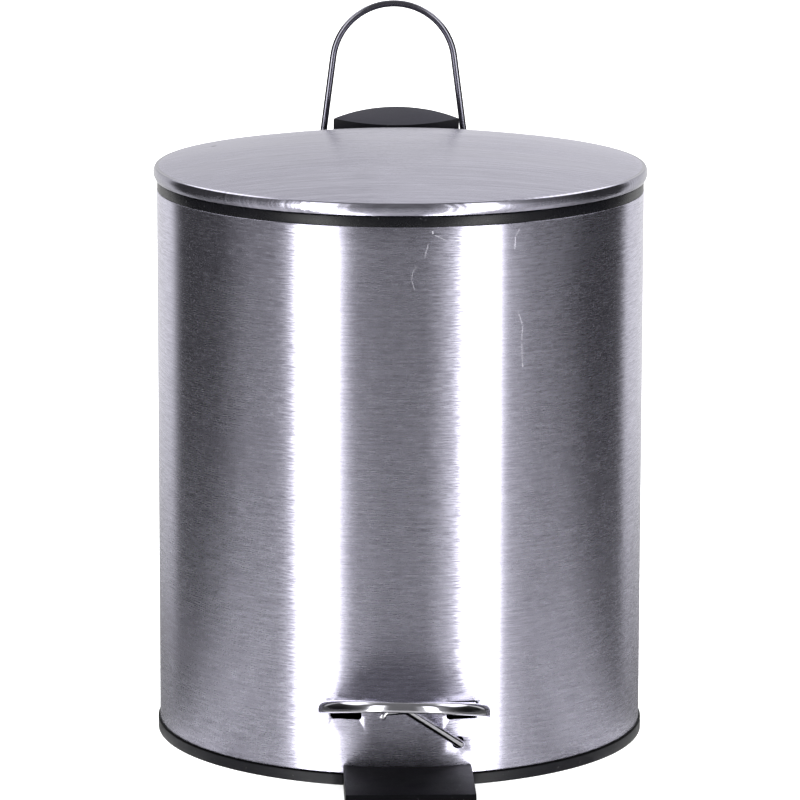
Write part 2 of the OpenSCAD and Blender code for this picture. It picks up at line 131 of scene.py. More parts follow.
def fillet(points, step):
    """An open polyline's corners rounded by arcs: each point is its 2 or 3 coordinates and a radius."""
    out = []
    n = len(points)
    for i, p in enumerate(points):
        c, r = Vector(p[:-1]), p[-1]
        if r == 0 or i in (0, n - 1):
            out.append(tuple(c))
            continue
        a = Vector(points[i - 1][:-1]) - c
        b = Vector(points[i + 1][:-1]) - c
        half = a.angle(b) / 2
        t = min(r / math.tan(half), a.length * 0.499, b.length * 0.499)
        rr = t * math.tan(half)
        a.normalize()
        b.normalize()
        centre = c + (a + b).normalized() * (rr / sin(half))
        u = (c + a * t) - centre
        w = (c + b * t) - centre
        turn = u.angle(w)
        k = max(2, int(math.degrees(turn) / step) + 1)
        for j in range(k + 1):
            s = j / k
            q = (u * sin((1 - s) * turn) + w * sin(s * turn)) / sin(turn)
            out.append(tuple(centre + q))
    return out


def lathe(name, profile, n):
    """A form turned from an (r, z) profile that starts and ends on the axis."""
    m = len(profile)
    verts, faces = [], []
    for i in range(n):
        a = 2 * pi * i / n
        verts += [(r * cos(a), r * sin(a), z) for r, z in profile]
    for i in range(n):
        j = (i + 1) % n
        for k in range(m - 1):
            faces.append((i * m + k, j * m + k, j * m + k + 1, i * m + k + 1))
    me = mesh_of(name, verts, faces)
    bm = bmesh.new()
    bm.from_mesh(me)
    bmesh.ops.dissolve_degenerate(bm, dist=1e-7, edges=bm.edges)
    bmesh.ops.recalc_face_normals(bm, faces=bm.faces)
    bm.to_mesh(me)
    bm.free()
    return me


def tube(name, path, r, n, ends):
    """A round wire of n sides along a dense path, its ends softened."""
    pts = [Vector(p) for p in path]
    d0 = (pts[1] - pts[0]).normalized()
    d1 = (pts[-1] - pts[-2]).normalized()
    rings = [(pts[0], d0, r - ends),
             (pts[0] + d0 * ends * 0.3, d0, r - ends * 0.3),
             (pts[0] + d0 * ends, d0, r)]
    for i in range(1, len(pts) - 1):
        rings.append((pts[i], (pts[i + 1] - pts[i - 1]).normalized(), r))
    rings += [(pts[-1] - d1 * ends, d1, r),
              (pts[-1] - d1 * ends * 0.3, d1, r - ends * 0.3),
              (pts[-1], d1, r - ends)]
    up = Vector((0, 0, 1)) if abs(d0.z) < 0.9 else Vector((1, 0, 0))
    u = d0.cross(up).normalized()
    verts, faces = [], []
    for c, d, rad in rings:
        u = (u - d * u.dot(d)).normalized()
        w = d.cross(u)
        verts += [tuple(c + (u * cos(2 * pi * k / n) + w * sin(2 * pi * k / n)) * rad) for k in range(n)]
    for i in range(len(rings) - 1):
        for k in range(n):
            l = (k + 1) % n
            faces.append((i * n + k, i * n + l, (i + 1) * n + l, (i + 1) * n + k))
    faces.append(tuple(range(n - 1, -1, -1)))
    faces.append(tuple(range((len(rings) - 1) * n, len(rings) * n)))
    return mesh_of(name, verts, faces)


def dense(points, step):
    """A polyline with its long stretches cut to about the step."""
    out = [Vector(points[0])]
    for a, b in zip(points[:-1], points[1:]):
        a, b = Vector(a), Vector(b)
        k = max(1, int((b - a).length / step))
        out += [a.lerp(b, (j + 1) / k) for j in range(k)]
    return out


def inside(p, poly):
    """Whether a point lies in a polygon."""
    x, y = p
    hit = False
    for i in range(len(poly)):
        x1, y1 = poly[i - 1]
        x2, y2 = poly[i]
        if (y1 > y) != (y2 > y) and x < (x2 - x1) * (y - y1) / (y2 - y1) + x1:
            hit = not hit
    return hit


def panel(outline, holes, grid):
    """Triangles that fill an outline with holes and pass through the grid points."""
    pts, edges = [], []
    for loop in [outline] + holes:
        s = len(pts)
        pts += [Vector(p) for p in loop]
        edges += [(s + i, s + (i + 1) % len(loop)) for i in range(len(loop))]
    pts += [Vector(g) for g in grid if inside(g, outline) and not any(inside(g, h) for h in holes)]
    v, _, f, _, _, _ = delaunay_2d_cdt(pts, edges, [], 0, 1e-5)
    keep = []
    for t in f:
        c = sum((v[i] for i in t), Vector((0, 0))) / len(t)
        if inside(c, outline) and not any(inside(c, h) for h in holes):
            keep.append(tuple(t))
    return [tuple(p) for p in v], keep


def rounded(cx, cy, w, h, r):
    """A rectangle's outline with round corners."""
    k = 6
    out = []
    for sx, sy, a0 in ((1, 1, 0), (-1, 1, 90), (-1, -1, 180), (1, -1, 270)):
        for j in range(k + 1):
            a = radians(a0 + 90 * j / k)
            out.append((cx + sx * (w / 2 - r) + r * cos(a), cy + sy * (h / 2 - r) + r * sin(a)))
    return out


# ---------------------------------------------------------------- material helpers
class Tree:
    """Short names for building a node tree."""

    def __init__(self, tree):
        self.t = tree
        self.t.nodes.clear()

    def node(self, kind, **attrs):
        n = self.t.nodes.new(kind)
        for k, v in attrs.items():
            setattr(n, k, v)
        return n

    def link(self, a, b):
        if hasattr(a, "links"):
            self.t.links.new(a, b)
        else:
            b.default_value = a

    def math(self, op, *args):
        n = self.node("ShaderNodeMath", operation=op)
        for i, a in enumerate(args):
            self.link(a, n.inputs[i])
        return n.outputs[0]

    def vec(self, op, *args):
        n = self.node("ShaderNodeVectorMath", operation=op)
        for i, a in enumerate(args):
            self.link(a, n.inputs[i])
        return n.outputs["Value"] if op in ("LENGTH", "DOT_PRODUCT", "DISTANCE") else n.outputs[0]

    def split(self, v):
        n = self.node("ShaderNodeSeparateXYZ")
        self.link(v, n.inputs[0])
        return n.outputs[0], n.outputs[1], n.outputs[2]

    def join(self, x, y, z):
        n = self.node("ShaderNodeCombineXYZ")
        for i, a in enumerate((x, y, z)):
            self.link(a, n.inputs[i])
        return n.outputs[0]

    def noise(self, vector, scale=1.0, detail=3.0, rough=0.5):
        n = self.node("ShaderNodeTexNoise")
        self.link(vector, n.inputs["Vector"])
        n.inputs["Scale"].default_value = scale
        n.inputs["Detail"].default_value = detail
        n.inputs["Roughness"].default_value = rough
        return n.outputs["Fac"]

    def remap(self, value, a, b, c, d, curve='LINEAR'):
        n = self.node("ShaderNodeMapRange", interpolation_type=curve)
        self.link(value, n.inputs["Value"])
        for k, v in zip(("From Min", "From Max", "To Min", "To Max"), (a, b, c, d)):
            n.inputs[k].default_value = v
        return n.outputs["Result"]

    def mix(self, fac, a, b):
        n = self.node("ShaderNodeMix", data_type='RGBA')
        self.link(fac, n.inputs["Factor"])
        self.link(a, n.inputs["A"])
        self.link(b, n.inputs["B"])
        return n.outputs["Result"]

    def bump(self, height, strength, distance, normal=None):
        n = self.node("ShaderNodeBump")
        n.inputs["Strength"].default_value = strength
        n.inputs["Distance"].default_value = distance
        self.link(height, n.inputs["Height"])
        if normal is not None:
            self.link(normal, n.inputs["Normal"])
        return n.outputs[0]

    def ramp(self, fac, stops):
        """Grey levels (position, level) along a factor."""
        n = self.node("ShaderNodeValToRGB")
        els = n.color_ramp.elements
        while len(els) < len(stops):
            els.new(0.5)
        for e, (p, v) in zip(els, stops):
            e.position = p
            e.color = (v, v, v, 1)
        self.link(fac, n.inputs[0])
        return n.outputs[0]


class Look(Tree):
    """A material's tree with its Principled shader."""

    SOCKETS = dict(base="Base Color", metal="Metallic", rough="Roughness", aniso="Anisotropic",
                   turn="Anisotropic Rotation", normal="Normal", tangent="Tangent",
                   spec="Specular IOR Level", alpha="Alpha")

    def __init__(self, name):
        self.mat = bpy.data.materials.new(name)
        self.mat.use_nodes = True
        super().__init__(self.mat.node_tree)
        out = self.node("ShaderNodeOutputMaterial")
        self.bsdf = self.node("ShaderNodeBsdfPrincipled")
        self.link(self.bsdf.outputs[0], out.inputs["Surface"])
        self.pos = self.node("ShaderNodeTexCoord").outputs["Object"]

    def set(self, **values):
        for k, v in values.items():
            self.link(v, self.bsdf.inputs[self.SOCKETS[k]])


def scratch_mask(t, u, v, lines):
    """Thin lines (u1, v1, u2, v2, half width) in the unrolled surface, in metres."""
    total = None
    for u1, v1, u2, v2, w in lines:
        length = hypot(u2 - u1, v2 - v1)
        du, dv = (u2 - u1) / length, (v2 - v1) / length
        a = t.math('SUBTRACT', u, u1)
        b = t.math('SUBTRACT', v, v1)
        along = t.math('ADD', t.math('MULTIPLY', a, du), t.math('MULTIPLY', b, dv))
        across = t.math('ABSOLUTE', t.math('SUBTRACT', t.math('MULTIPLY', a, dv), t.math('MULTIPLY', b, du)))
        near = t.remap(across, 0.0, w, 1.0, 0.0)
        from_middle = t.math('ABSOLUTE', t.math('SUBTRACT', along, length / 2))
        on = t.remap(from_middle, length * 0.35, length * 0.5, 1.0, 0.0)
        m = t.math('MULTIPLY', near, on)
        total = m if total is None else t.math('MAXIMUM', total, m)
    return total


def swung(t, x, y, z):
    """The surface normal pushed by a small vector."""
    nrm = t.node("ShaderNodeNewGeometry").outputs["Normal"]
    return t.vec('NORMALIZE', t.vec('ADD', nrm, t.join(x, y, z)))


def brushed_shell():
    """Steel brushed round the shell, with its scratches."""
    t = Look("shell_steel_look")
    x, y, z = t.split(t.pos)
    ang = t.math('ARCTAN2', x, t.math('MULTIPLY', y, -1.0))
    arc = t.math('MULTIPLY', ang, R * MM)
    fine = t.noise(t.join(t.math('MULTIPLY', arc, 200.0), t.math('MULTIPLY', z, 2300.0), 0.0), detail=2.0)
    long = t.noise(t.join(t.math('MULTIPLY', arc, 60.0), t.math('MULTIPLY', z, 1100.0), 3.0), detail=3.0)
    broad = t.noise(t.join(t.math('MULTIPLY', arc, 9.0), t.math('MULTIPLY', z, 30.0), 7.0), detail=3.0)
    # The brush lines swing the normal sideways a little, which frays the edges of the reflections
    swing = t.math('ADD', t.remap(fine, 0.25, 0.75, -0.011, 0.011), t.remap(long, 0.25, 0.75, -0.003, 0.003))
    side_x = t.math('MULTIPLY', t.math('COSINE', ang), swing)
    side_y = t.math('MULTIPLY', t.math('SINE', ang), swing)
    n = swung(t, side_x, side_y, 0.0)
    lines = scratch_mask(t, arc, z, SCRATCHES)
    n = t.bump(lines, 0.2, 0.00006, n)
    shade = t.math('ADD', t.remap(fine, 0.33, 0.67, -0.5, 0.5), t.remap(long, 0.36, 0.64, -0.35, 0.35))
    dark, light = (0.43, 0.415, 0.505, 1), (0.76, 0.745, 0.88, 1)
    base = t.mix(t.remap(shade, -0.8, 0.8, 0.0, 1.0), dark, light)
    base = t.mix(t.math('MULTIPLY', lines, 0.8), base, (0.88, 0.87, 0.92, 1))
    rough = t.math('ADD', t.remap(fine, 0.3, 0.7, 0.24, 0.29), t.remap(broad, 0.3, 0.7, -0.02, 0.02))
    tan = t.node("ShaderNodeTangent", direction_type='RADIAL', axis='Z').outputs[0]
    t.set(base=base, metal=t.remap(lines, 0.0, 1.0, 1.0, 0.25), rough=rough, aniso=0.96, turn=0.25,
          tangent=tan, normal=n)
    return t.mat


def brushed_lid():
    """Steel brushed across the lid, with a smoother rim, painted shade on the rim's sides and one dark
    speck.
    """
    t = Look("lid_steel_look")
    x, y, z = t.split(t.pos)
    fine = t.noise(t.join(t.math('MULTIPLY', x, 90.0), t.math('MULTIPLY', y, 1500.0), 0.0), detail=2.0)
    long = t.noise(t.join(t.math('MULTIPLY', x, 12.0), t.math('MULTIPLY', y, 700.0), 4.0), detail=3.0)
    broad = t.noise(t.join(t.math('MULTIPLY', x, 10.0), t.math('MULTIPLY', y, 25.0), 9.0), detail=2.0)
    swing = t.math('ADD', t.remap(fine, 0.25, 0.75, -0.03, 0.03), t.remap(long, 0.25, 0.75, -0.02, 0.02))
    n = swung(t, swing, 0.0, 0.0)
    dark, light = (0.515, 0.50, 0.60, 1), (0.73, 0.715, 0.84, 1)
    shade = t.math('ADD', t.remap(fine, 0.33, 0.67, -0.5, 0.5), t.remap(long, 0.36, 0.64, -0.4, 0.4))
    base = t.mix(t.remap(shade, -0.8, 0.8, 0.0, 1.0), dark, light)
    rough = t.math('ADD', t.remap(fine, 0.3, 0.7, 0.22, 0.28), t.remap(broad, 0.3, 0.7, -0.02, 0.03))
    r = t.vec('LENGTH', t.join(x, y, 0.0))
    rim = t.remap(r, 0.1014, 0.1020, 0.0, 1.0)
    speck = t.remap(t.vec('DISTANCE', t.pos, (-0.079, 0.031, 0.2455)), 0.0010, 0.0015, 1.0, 0.0)
    n = t.bump(speck, 0.6, 0.0006, n)
    base = t.mix(t.math('MULTIPLY', speck, 0.9), base, (0.03, 0.03, 0.04, 1))
    rough = t.math('MULTIPLY', rough, t.math('SUBTRACT', 1.0, rim))
    rough = t.math('ADD', rough, t.math('MULTIPLY', rim, 0.17))
    # Painted shade: the rim band darkens towards its left and right sides, standing in for the dark
    # reflections there
    ends = t.math('MULTIPLY', rim, t.remap(t.math('ABSOLUTE', x), 0.078, 0.100, 0.0, 0.55))
    base = t.mix(ends, base, (0.16, 0.16, 0.19, 1))
    t.set(base=base, metal=1.0, rough=rough, aniso=t.remap(rim, 0.0, 1.0, 0.7, 0.0), turn=0.25,
          tangent=t.join(1.0, 0.0, 0.0), normal=n)
    return t.mat


def plain_metal(name, base, rough, scale, vary, bump, painted_side_shade=0.0):
    """Smooth metal; a nonzero last argument paints shade on the faces that look to the side, standing in for
    dark reflections.
    """
    t = Look(name)
    v = t.vec('MULTIPLY', t.pos, scale)
    f = t.noise(v, detail=3.0)
    g = t.noise(t.pos, scale=90.0, detail=4.0)
    lo = tuple(c * 0.9 for c in base) + (1,)
    hi = tuple(min(1, c * 1.08) for c in base) + (1,)
    r = t.remap(f, 0.3, 0.7, rough - vary, rough + vary)
    r = t.math('ADD', r, t.remap(g, 0.3, 0.7, -vary / 2, vary / 2))
    b = t.mix(f, lo, hi)
    if painted_side_shade:
        # Painted shade: faces that look to the side are darkened towards black, standing in for the dark
        # reflections there
        nx, _, nz = t.split(t.node("ShaderNodeNewGeometry").outputs["Normal"])
        side = t.remap(t.math('ABSOLUTE', nx), 0.30, 0.62, 0.0, painted_side_shade)
        side = t.math('MULTIPLY', side, t.remap(t.math('ABSOLUTE', nz), 0.25, 0.55, 1.0, 0.0))
        b = t.mix(side, b, (0.02, 0.02, 0.025, 1))
    t.set(base=b, metal=1.0, rough=r, normal=t.bump(f, bump, 0.0002))
    return t.mat


def plastic(name, base, rough, grain=1800.0, bump=0.15, spec=0.5, top=None, top_spec=0.3, dark_above=None):
    """Fine-grained plastic; top is a painted lighter colour for its upward faces, as lit from above, and
    dark_above the height of a painted shadow line.
    """
    t = Look(name)
    f = t.noise(t.pos, scale=grain, detail=2.0)
    g = t.noise(t.pos, scale=60.0, detail=5.0, rough=0.65)
    h = t.noise(t.pos, scale=700.0, detail=1.0)
    lo = tuple(c * 0.85 for c in base) + (1,)
    hi = tuple(c * 1.2 + 0.002 for c in base) + (1,)
    b = t.mix(g, lo, hi)
    specks = t.remap(h, 0.72, 0.8, 0.0, 0.12)
    b = t.mix(specks, b, (0.35, 0.35, 0.36, 1))
    if top:
        # Painted light: upward faces get a lighter colour, as lit from above
        up = t.split(t.node("ShaderNodeNewGeometry").outputs["Normal"])[2]
        up = t.remap(up, 0.3, 0.8, 0.0, 1.0)
        b = t.mix(t.math('MULTIPLY', up, t.remap(f, 0.3, 0.7, 0.5, 1.0)), b, top + (1,))
        spec = t.math('ADD', spec, t.math('MULTIPLY', up, top_spec - spec))
    if dark_above:
        # The shadow line where the steel sits in the ring
        lit = t.remap(t.split(t.pos)[2], dark_above, dark_above + 0.0003, 1.0, 0.05)
        b = t.mix(lit, (0.0005, 0.0005, 0.0006, 1), b)
        spec = t.math('MULTIPLY', lit, spec)
    r = t.math('ADD', t.remap(g, 0.3, 0.7, rough - 0.05, rough + 0.05), t.remap(f, 0.3, 0.7, -0.03, 0.03))
    t.set(base=b, rough=r, spec=spec, normal=t.bump(f, bump, 0.00012))
    return t.mat


# Scratches on the shell, in metres along the arc from the front and above the floor
SCRATCHES = [
    (0.0094, 0.2261, 0.0077, 0.2195, 0.00013), (0.0048, 0.2170, 0.0031, 0.2141, 0.00013),
    (0.0031, 0.2145, 0.0026, 0.2108, 0.00013), (0.0026, 0.2110, 0.0039, 0.2067, 0.00013),
    (0.0110, 0.2310, 0.0112, 0.2296, 0.00035), (0.0115, 0.2294, 0.0167, 0.2269, 0.00012),
    (0.0476, 0.1967, 0.0500, 0.1901, 0.00013), (0.0500, 0.1905, 0.0495, 0.1835, 0.00013),
    (0.0495, 0.1838, 0.0500, 0.1740, 0.00013), (0.0500, 0.1746, 0.0501, 0.1730, 0.00035),
    (0.0485, 0.2302, 0.0464, 0.2270, 0.00012), (0.0464, 0.2273, 0.0461, 0.2215, 0.00012),
]
M_SHELL = brushed_shell()
M_LID = brushed_lid()
# The pedal chrome gets painted shade on its side-facing faces
M_CHROME = plain_metal("pedal_chrome_look", (0.84, 0.83, 0.90), 0.08, (300, 300, 300), 0.03, 0.03, painted_side_shade=0.80)
M_HANDLE = plain_metal("handle_wire_look", (0.27, 0.265, 0.31), 0.18, (900, 900, 120), 0.05, 0.05)
M_BRIGHT = plain_metal("bright_wire_look", (0.88, 0.87, 0.92), 0.09, (700, 700, 700), 0.03, 0.03)
M_ZINC = plain_metal("zinc_steel_look", (0.55, 0.56, 0.60), 0.32, (400, 400, 400), 0.08, 0.04)
M_BASE = plastic("base_plastic_look", (0.007, 0.007, 0.010), 0.34, spec=0.24, dark_above=0.0042)
M_FOOT = plastic("foot_plastic_look", (0.0018, 0.0018, 0.0026), 0.45, grain=2200.0, bump=0.25, spec=0.07)
M_COLLAR = plastic("collar_plastic_look", (0.004, 0.004, 0.006), 0.28, bump=0.10, spec=0.28)
# The hinge plastic's upward faces get a painted lighter colour, as lit from above
M_HINGE = plastic("hinge_plastic_look", (0.005, 0.005, 0.007), 0.36, grain=2600.0, bump=0.30, spec=0.14,
                  top=(0.030, 0.029, 0.039), top_spec=0.32)
M_INNER = plastic("inner_plastic_look", (0.030, 0.030, 0.034), 0.50)
M_BUCKET = plastic("bucket_plastic_look", (0.045, 0.047, 0.052), 0.44, bump=0.20)
M_RUBBER = plastic("rubber_look", (0.028, 0.028, 0.030), 0.70, grain=1500.0, bump=0.25)

# ---------------------------------------------------------------- steel shell
def shell_mesh():
    """The shell cut as a flat sheet with its openings, then bent round and thickened."""
    half = pi * R
    z0, z1 = SHELL_LOW, SHELL_TOP
    tongue = R * math.asin(FOOT_HALF / R)
    mid = R * radians(FOOT_TURN)
    edge = [(half * k / 150, z0) for k in range(-150, 151)]
    lower = [p for p in edge if p[0] < mid - tongue - 0.3] + [(mid - tongue, z0), (mid - tongue, FOOT_TOP)]
    lower += [(mid + k * tongue / 10, FOOT_TOP) for k in range(-9, 10)]
    lower += [(mid + tongue, FOOT_TOP), (mid + tongue, z0)] + [p for p in edge if p[0] > mid + tongue + 0.3]
    right = [(half, z0 + (NOTCH_LOW - z0) * k / 24) for k in range(1, 25)]
    edge_u = half - NOTCH_HALF
    notch = [(edge_u, NOTCH_LOW), (edge_u, z1)]
    upper = [(edge_u - 2 * edge_u * k / 298, z1) for k in range(1, 298)]
    left = [(-edge_u, z1), (-edge_u, NOTCH_LOW)] + [(-u, z) for u, z in reversed(right)]
    loop = lower + right + notch + upper + left
    slots = []
    for s in (-1, 1):
        flat = rounded(s * SLOT_X, SLOT_Z, SLOT_W, SLOT_H, SLOT_R)
        slots.append([(R * math.asin(px / R), pz) for px, pz in flat])
    hole_u = R * atan2(22.36, 100.03)
    turns = [a * pi / 12 for a in range(24)]
    slots.append([(hole_u + WIRE_HOLE_R * cos(a), CRANK_Z + WIRE_HOLE_R * sin(a)) for a in turns])
    grid = []
    for i in range(-149, 150):
        for k in range(1, 26):
            grid.append((half * i / 150 + (0.003 * (k % 2)), z0 + (z1 - z0) * k / 26))
    for s in (-1, 1):
        for k in range(1, 40):
            grid.append((s * (half - SEAM_W), z0 + (z1 - z0) * k / 40))
    pts, tris = panel(loop, slots, grid)

    def bend(u, z):
        seam = half - abs(u)
        rise = SEAM_RISE * max(0.0, 1 - seam / SEAM_W)
        a = u / R
        return ((R + rise) * sin(a), -(R + rise) * cos(a), z)
    me = mesh_of("shell_look", [bend(*p) for p in pts], tris)
    bm = bmesh.new()
    bm.from_mesh(me)
    outward = 0
    for f in bm.faces:
        c = f.calc_center_median()
        outward += f.normal.dot(Vector((c.x, c.y, 0))) > 0
    if outward < len(bm.faces) / 2:
        bmesh.ops.reverse_faces(bm, faces=bm.faces)
    bm.to_mesh(me)
    bm.free()
    return with_modifiers(me, ("SOLIDIFY", dict(thickness=WALL * MM, offset=-1.0, use_even_offset=True)),
                          bevel(0.28, 3, 50))


place("shell_look", shell_mesh(), M_SHELL, "bin", ["outer_shell"], 40)

# ---------------------------------------------------------------- lid
DOME_R = (LID_R ** 2 + DOME_RISE ** 2) / (2 * DOME_RISE)
DOME_C = DOME_LOW + DOME_RISE - DOME_R


def lid_mesh():
    """The domed lid with its rolled rim, and the gap at the back for the hinge."""
    outer = [(0.0, 252.2, 0)]
    for k in range(1, 44):
        r = 101.3 * (k / 43)
        outer.append((r, DOME_C + sqrt(DOME_R ** 2 - r * r), 0))
    # Rolled edge: a fine bead round the dome, then a band that draws in to its lower lip
    outer += [(102.15, 242.28, 0.5), (102.95, 242.42, 0.35), (103.45, 241.95, 0.5), (103.98, 240.5, 1.2),
              (103.75, 238.6, 2.5), (103.0, 237.12, 0.3), (102.3, 237.12, 0.3), (102.4, 238.3, 0.4),
              (103.0, 239.5, 0.6), (102.9, 240.9, 0.5), (102.2, 241.35, 0.4)]
    inner = []
    for k in range(43, 0, -1):
        r = 101.5 * (k / 43)
        inner.append((r, DOME_C + sqrt((DOME_R - WALL) ** 2 - r * r), 0))
    inner.append((0.0, 251.4, 0))
    prof = fillet(outer + inner, step=20)
    me = lathe("lid_look", prof, 256)
    cut = mesh_of("cut", [(x, y, z) for x in (-14, 14) for y in (98.5, 120) for z in (230, 260)],
                  [(0, 1, 3, 2), (4, 6, 7, 5), (0, 4, 5, 1), (2, 3, 7, 6), (0, 2, 6, 4), (1, 5, 7, 3)])
    co = bpy.data.objects.new("cut", cut)
    scene.collection.objects.link(co)
    me = with_modifiers(me, ("BOOLEAN", dict(object=co, operation='DIFFERENCE', solver='EXACT')))
    bpy.data.objects.remove(co)
    return me


place("lid_look", lid_mesh(), M_LID, "lid", ["lid_skin"], 50)

# ---------------------------------------------------------------- plastic and rubber pieces
for look, node, width, segments, angle, mat, body, slot in (
        ("collar_look", "top_collar", 0.35, 2, 40, M_COLLAR, "bin", "collar_plastic"),
        ("cap_look", "lid_cap", 0.5, 3, 40, M_HINGE, "lid", "hinge_plastic"),
        ("housing_look", "hinge_housing", 0.7, 3, 40, M_HINGE, "bin", "hinge_plastic"),
        ("base_look", "base_tray", 0.25, 2, 40, M_BASE, "bin", "base_plastic"),
        ("foot_look", "front_foot", 0.45, 3, 30, M_FOOT, "bin", "foot_plastic"),
        ("bumpers_look", "lid_bumpers", 0.6, 3, 40, M_RUBBER, "bin", "rubber"),
        ("bucket_look", "inner_bucket", 0.4, 2, 40, M_BUCKET, "bin", "bucket_plastic")):
    place(look, cad_copy(node, bevel(width, segments, angle)), mat, body, [node], 40)

# ---------------------------------------------------------------- wires
def handle_path():
    """Two leaning legs, each bent into its bore, joined by a round arch."""
    lean = radians(7.4)
    arch_r, zc = 26.9, 268.6
    y, foot_z = HANDLE_Y, HANDLE_Z
    ex, ez = arch_r * cos(lean), zc + arch_r * sin(lean)
    fx = ex + (ez - foot_z) * math.tan(lean)
    angles = [lean + (pi - 2 * lean) * k / 48 for k in range(49)]
    arc = [(arch_r * cos(a), y, zc + arch_r * sin(a)) for a in angles]
    right = fillet([(22.2, y, foot_z, 0), (fx, y, foot_z, 3.2), (ex, y, ez, 0)], step=8)[:-1]
    left = [(-p[0], p[1], p[2]) for p in reversed(right)]
    return dense([(p[0] - HANDLE_SLIDE, p[1], p[2]) for p in right + arc + left], 2.5)


def crank_path():
    """The long shaft under the bucket, its rear arm, and the front arm with its turned-down end."""
    f, b = Vector(CRANK_FRONT + (CRANK_Z,)), Vector(CRANK_BACK + (CRANK_Z,))
    d = (f - b).normalized()
    perp = Vector((-d.y, d.x, 0))
    fa, ra = radians(35.9), radians(-15.6)
    tip = f + d * 18 - perp * 35 * cos(fa) + Vector((0, 0, 35 * sin(fa)))
    tail = tip - perp * 9
    rear = b + perp * 31.17 * cos(ra) + Vector((0, 0, 31.17 * sin(ra)))
    end = tail - perp * 1.4 - Vector((0, 0, 2.6))
    corners = ((rear, 0), (b, 4), (f + d * 3, 3), (tip, 4), (tail, 2), (end, 0))
    return dense(fillet([tuple(p) + (r,) for p, r in corners], step=8), 3.0)


def bail_path():
    """A half ring that lies forward on the bucket, with a short leg down at each end."""
    r, z = BAIL_RING, BAIL_Z
    ring = [(r * cos(a * pi / 60), -r * sin(a * pi / 60), z) for a in range(61)]
    leg = fillet([(r, 0, z, 0), (r, 3.5, z, 2.0), (r, 3.5, 230.1, 0)], step=10)[1:]
    left = [(-p[0], p[1], p[2]) for p in reversed(leg)]
    return dense(left + list(reversed(ring)) + leg, 3.0)


for look, path, r, sides, ends, mat, body, node, slot in (
        ("handle_look", handle_path(), HANDLE_R, 28, 0.2, M_HANDLE, "handle", "carry_handle", "handle_wire"),
        ("crank_look", crank_path(), CRANK_R, 28, 0.5, M_BRIGHT, "crank", "crank_rod", "bright_wire"),
        ("bail_look", bail_path(), BAIL_R, 20, 0.2, M_BRIGHT, "bin", "bucket_bail", "bright_wire")):
    place(look, tube(look, path, r, sides, ends), mat, body, [node], 60)

# ---------------------------------------------------------------- pedal
PIN = Vector((0, -88, 30.5))
SLOPE, LEAN, TONGUE = radians(16.3), radians(1.4), radians(6.1)
CURL = 3.31                           # outer radius of the tongues round the pin
THICK = 1.5
TONGUE_OUT, TONGUE_IN = 29.4, 18.4    # a tongue's two sides, from the middle
PLATE_TOP, RIM, HALF, BACK, MIDDLE = 0.4, 5.1, 35.2, -16.5, -20.0


